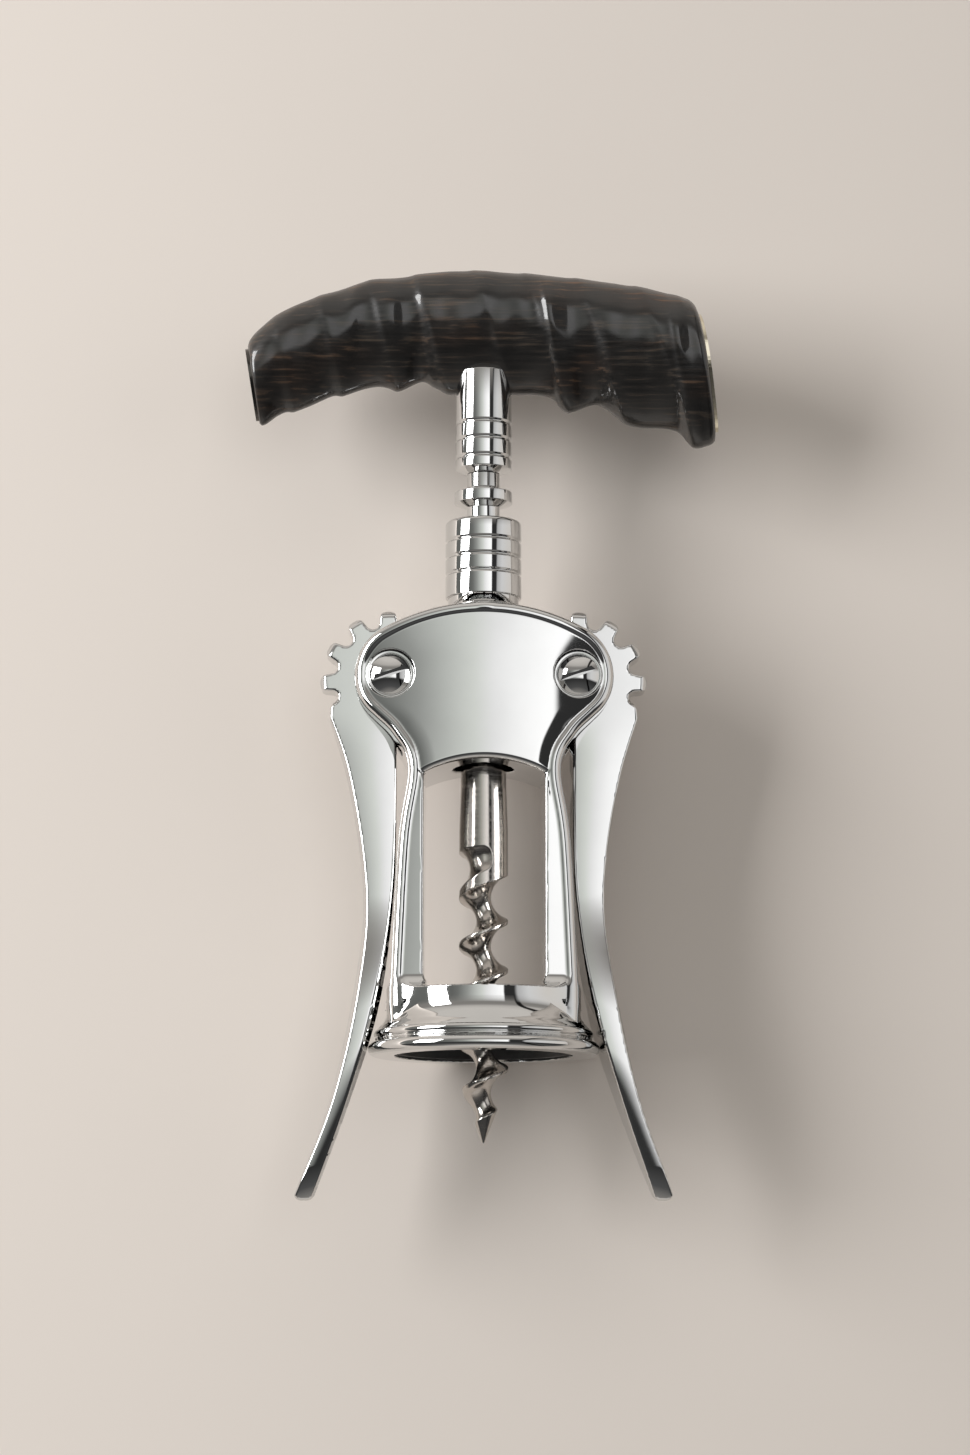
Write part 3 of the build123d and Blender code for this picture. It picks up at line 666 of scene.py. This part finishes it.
def horn_finish():
    """Near-black horn with lengthwise fibres and brown patches under lacquer, duller along its top."""
    material, nodes, links, shader = node_material("horn")
    place = nodes.new("ShaderNodeTexCoord").outputs["Object"]
    top = nodes.new("ShaderNodeAttribute")
    top.attribute_name = "upward"
    fibre = noise(nodes, links, 1, 5, (60, 1500, 900), place)
    cloud = noise(nodes, links, 1, 4, (60, 140, 100), place)
    fibres = ramp(nodes, links, fibre, [
        (0.35, (0.003, 0.0023, 0.0018)), (0.55, (0.006, 0.0042, 0.003)), (0.72, (0.040, 0.027, 0.017)),
    ])
    patches = ramp(nodes, links, cloud, [(0.50, (1, 1, 1)), (0.70, (2.6, 1.9, 1.4))])
    worn = ramp(nodes, links, top.outputs["Fac"], [(0.55, (1, 1, 1)), (0.95, (2.6, 2.2, 1.9))])
    colour = blend(nodes, links, "MULTIPLY", blend(nodes, links, "MULTIPLY", fibres, patches), worn)
    links.new(colour, shader.inputs["Base Color"])
    links.new(spread(nodes, links, fibre, 0.30, 0.50), shader.inputs["Roughness"])
    links.new(spread(nodes, links, top.outputs["Fac"], 1, 0.3, 0.5, 0.9), shader.inputs["Coat Weight"])
    shader.inputs["Coat Roughness"].default_value = 0.06
    bump(nodes, links, shader, fibre, 0.25, 0.0002)
    return material


chrome = metal("chrome", (0.66, 0.66, 0.655), 0.045)
worm_steel = metal("worm_steel", (0.50, 0.47, 0.44), 0.16, (1, 6, 1), 400, 0.10)
end_metal = metal("end_plate", (0.74, 0.68, 0.54), 0.16, (1, 8, 1), 300, 0.1)
end_dark = metal("end_plate_dark", (0.10, 0.092, 0.085), 0.16, (1, 8, 1), 300, 0.1)
insert_black = plastic("insert_plastic", (0.012, 0.012, 0.012), 0.42)
washer_nylon = plastic("washer_plastic", (0.52, 0.51, 0.47), 0.5)
horn = horn_finish()

# Frame and levers
frame_casting = cast("frame_casting", "frame", 0.5, frame_distance, (frame_detail, frame_edges))
dress(frame_casting, "frame", "frame", chrome, sharp=0)
lever_casting = cast("lever_casting_left", "lever_left", 0.4, lever_distance)
turned = lever_casting.data.copy()
turned.transform(Matrix.Rotation(pi, 4, "Y"))
lever_twin = bpy.data.objects.new("lever_casting_right", turned)
bpy.context.scene.collection.objects.link(lever_twin)
dress(lever_casting, "lever_left", "lever_left", chrome, sharp=0)
dress(lever_twin, "lever_right", "lever_right", chrome, sharp=0)

# Turned pieces on the worm axis
collar = lathe("collar_turned", [
    (collar_bore_r, collar_foot_y), (collar_spigot_r, collar_foot_y, 0.3), (collar_spigot_r, seat_y),
    (collar_r, seat_y, 0.25), *groove(collar_r, 93.2), *groove(collar_r, 96.5), *groove(collar_r, 99.7),
    (collar_r, collar_top_y, 2.1), (collar_bore_r, collar_top_y, 0.35),
])
dress(collar, "frame", "guide_collar", chrome)
rack_profile = [(rack_bore_r, rack_foot_y), (rack_core_r, rack_foot_y)]
for i in reversed(range(rack_rings)):
    ring_y = top_ring_y - rack_pitch * i
    rack_profile += [
        (rack_core_r, ring_y - ring_foot_half, 0.2), (rack_ring_r, ring_y - ring_tip_half, 0.18),
        (rack_ring_r, ring_y + ring_tip_half, 0.18), (rack_core_r, ring_y + ring_foot_half, 0.2),
    ]
rack_profile += [(rack_core_r, rack_top_y, 0.1), (rack_bore_r, rack_top_y)]
rack = lathe("rack_rings", rack_profile)
dress(rack, "rack", "rack_sleeve", chrome)
ferrule = lathe("ferrule_turned", [
    (ferrule_bore_r, 113.4), (3.4, 113.4, 0.1), (ferrule_r, ferrule_foot_y, 0.25), *groove(ferrule_r, 116.45),
    *groove(ferrule_r, 120.0), *groove(ferrule_r, 123.3), (ferrule_r, ferrule_top_y, 0.3),
    (ferrule_bore_r, ferrule_top_y),
])
dress(ferrule, "spindle", "ferrule", chrome)
insert = lathe("bell_lining", [
    (16.3, 0.6, 0.2), (16.85, 0.6, 0.2), (16.85, insert_seat_y, 0.2), (15.3, insert_seat_y, 0.3),
])
dress(insert, "frame", "bell_insert", insert_black)
stud = lathe("stud_turned", [(0, 123.0), (2.0, 123.0, 0.3), (2.0, 144.0, 0.5), (0, 144.0)], 48)
dress(stud, "spindle", "handle_stud", worm_steel)

# Pivots
for side_name, side_x in (("left", -pivot_x), ("right", pivot_x)):
    for part, side, shank, length in (("screw", 1, 1.48, 10.0), ("barrel", -1, 2.48, 17.2)):
        ring_top = head_seat_z + head_ring_t
        dome = [(dome_r * t, ring_top + dome_h * (1 - t**2)) for t in np.linspace(0, 1, 14)]
        foot = head_seat_z - length
        bore = [(0, foot)]
        if part == "barrel":
            bore = [(0, barrel_bore_end), (barrel_bore_r, barrel_bore_end), (barrel_bore_r, foot)]
        head = lathe(f"pivot_{part}_head_{side_name}", [
            *bore, (shank, foot, 0.2), (shank, head_seat_z), (head_ring_r, head_seat_z, 0.1),
            (head_ring_r, ring_top, 0.2), (4.0, ring_top - 0.15, 0.1), *dome[::-1],
        ], 96, (side_x, pivot_y), side)
        cut_slot(head, (side_x, pivot_y), side * (head_seat_z + slot_rise), slot_turn, slot_size)
        dress(head, "frame", f"pivot_{part}_{side_name}", chrome)
    for part, side in (("front", 1), ("rear", -1)):
        ring = lathe(f"washer_ring_{side_name}_{part}", [
            (washer_bore_r, washer_from, 0.05), (washer_r, washer_from, 0.1),
            (washer_r, washer_to, 0.1), (washer_bore_r, washer_to, 0.05),
        ], 64, (side_x, pivot_y), side)
        dress(ring, "frame", f"washer_{side_name}_{part}", washer_nylon)

# Worm and crossbar
dress(build_worm(), "spindle", "worm", worm_steel, sharp=50)
dress(build_horn(), "spindle", "horn_handle", horn, sharp=60)
for side_name, outside_x, inside_x, finish in (
    ("left", horn_left_x - plate_proud_left, horn_left_x + plate_let_in, end_dark),
    ("right", horn_right_x + plate_proud_right, horn_right_x - plate_let_in, end_metal),
):
    end_plate = build_end_plate(side_name, outside_x, inside_x)
    dress(end_plate, "spindle", f"handle_end_plate_{side_name}", finish)

# Stage: paper floor, soft light and the camera of the photograph
floor_z = cad_box[0][2]
floor_size = 4.0
floor_corners = np.array([(-1, -1, 0), (1, -1, 0), (1, 1, 0), (-1, 1, 0)])
floor = mesh_object("floor", floor_corners * floor_size / MM / 2, [(0, 1, 2, 3)])
floor.location.z = floor_z
paper, nodes, links, shader = node_material("paper")
shader.inputs["Base Color"].default_value = (0.80, 0.73, 0.67, 1)
shader.inputs["Roughness"].default_value = 0.9
floor.data.materials.append(paper)


def math_node(nodes, links, operation, *values):
    node = nodes.new("ShaderNodeMath")
    node.operation = operation
    for value, socket in zip(values, node.inputs):
        links.new(value, socket)
    return node.outputs[0]


def angle_ramp(nodes, links, angle, stops):
    """Light level by an angle from -90 to 90 degrees."""
    share = spread(nodes, links, angle, 0, 1, -pi / 2, pi / 2)
    return ramp(nodes, links, share, [((place + 90) / 180, level) for place, level in stops])


def studio_world():
    """A bright scrim overhead, shaded to the left and cut off by a dark gap on the right, and pale walls."""
    world = bpy.data.worlds.new("studio")
    bpy.context.scene.world = world
    world.use_nodes = True
    nodes, links = world.node_tree.nodes, world.node_tree.links
    parts = nodes.new("ShaderNodeSeparateXYZ")
    links.new(nodes.new("ShaderNodeTexCoord").outputs["Generated"], parts.inputs["Vector"])
    x, y = parts.outputs["X"], parts.outputs["Y"]
    cool, warm = np.array((0.97, 1.0, 0.95)), np.array((1.0, 0.95, 0.89))
    white = np.ones(3)
    sideways = math_node(nodes, links, "ARCSINE", x)
    scrim = angle_ramp(nodes, links, sideways, [
        (-90, 0.55 * warm), (-82, 0.15 * cool), (-40, 0.14 * cool), (-32, 0.18 * cool), (-26, 0.26 * cool),
        (-20, 0.35 * cool), (-14, 0.49 * cool), (-8, 0.63 * cool), (-2, 0.77 * cool), (4, 0.92 * white),
        (10, 1.06 * white), (16, 1.16 * white), (23, 1.25 * white), (24.5, 0.03 * white), (37, 0.03 * white),
        (41, 0.50 * white), (55, 0.70 * white), (82, 0.70 * warm), (90, 0.50 * warm),
    ])
    along = math_node(nodes, links, "ARCSINE", y)
    reach = angle_ramp(nodes, links, along, [
        (-15, 0 * white), (-9, white), (16.5, white), (26, 0 * white),
    ])
    walls = angle_ramp(nodes, links, along, [
        (-90, 0.60 * warm), (-72, 0.55 * warm), (-62, 0.25 * warm), (-45, 0.08 * white), (-15, 0.03 * white),
        (-9, 0 * white), (16.5, 0 * white), (25, 0.24 * warm), (34, 0.26 * warm), (43, 0.50 * warm),
        (60, 0.62 * warm), (90, 0.60 * warm),
    ])
    gap = angle_ramp(nodes, links, sideways, [
        (35, white), (36.5, 0.05 * white), (41, 0.05 * white), (42.5, white),
    ])
    overhead = blend(nodes, links, "MULTIPLY", scrim, reach)
    light = blend(nodes, links, "ADD", overhead, blend(nodes, links, "MULTIPLY", walls, gap))
    links.new(light, nodes["Background"].inputs["Color"])
    nodes["Background"].inputs["Strength"].default_value = 1.2


studio_world()


def softbox(name, place, aim, size, power):
    lamp = bpy.data.lights.new(name, "AREA")
    lamp.shape = "RECTANGLE"
    lamp.size, lamp.size_y = size
    lamp.energy = power
    obj = bpy.data.objects.new(name, lamp)
    bpy.context.scene.collection.objects.link(obj)
    obj.location = place
    obj.rotation_euler = (Vector(aim) - Vector(place)).to_track_quat("-Z", "Y").to_euler()


softbox("key", (-1.01, 0.30, 0.60), (0, 0.06, 0), (0.80, 0.55), 14.5)

eye, aim = Vector((-0.0117, -0.051, 0.680)), Vector((0.0003, 0.0634, 0))
ahead = (aim - eye).normalized()
right = ahead.cross(Vector((0, 1, 0))).normalized()
up = right.cross(ahead)
lens = bpy.data.cameras.new("camera")
lens.sensor_fit = "VERTICAL"
lens.sensor_height = 36
lens.lens = 88.4
lens.clip_start = 0.01
camera = bpy.data.objects.new("camera", lens)
bpy.context.scene.collection.objects.link(camera)
camera.matrix_world = Matrix.Translation(eye) @ Matrix((right, up, -ahead)).transposed().to_4x4()
bpy.context.scene.camera = camera
bpy.context.scene.view_settings.view_transform = "Standard"
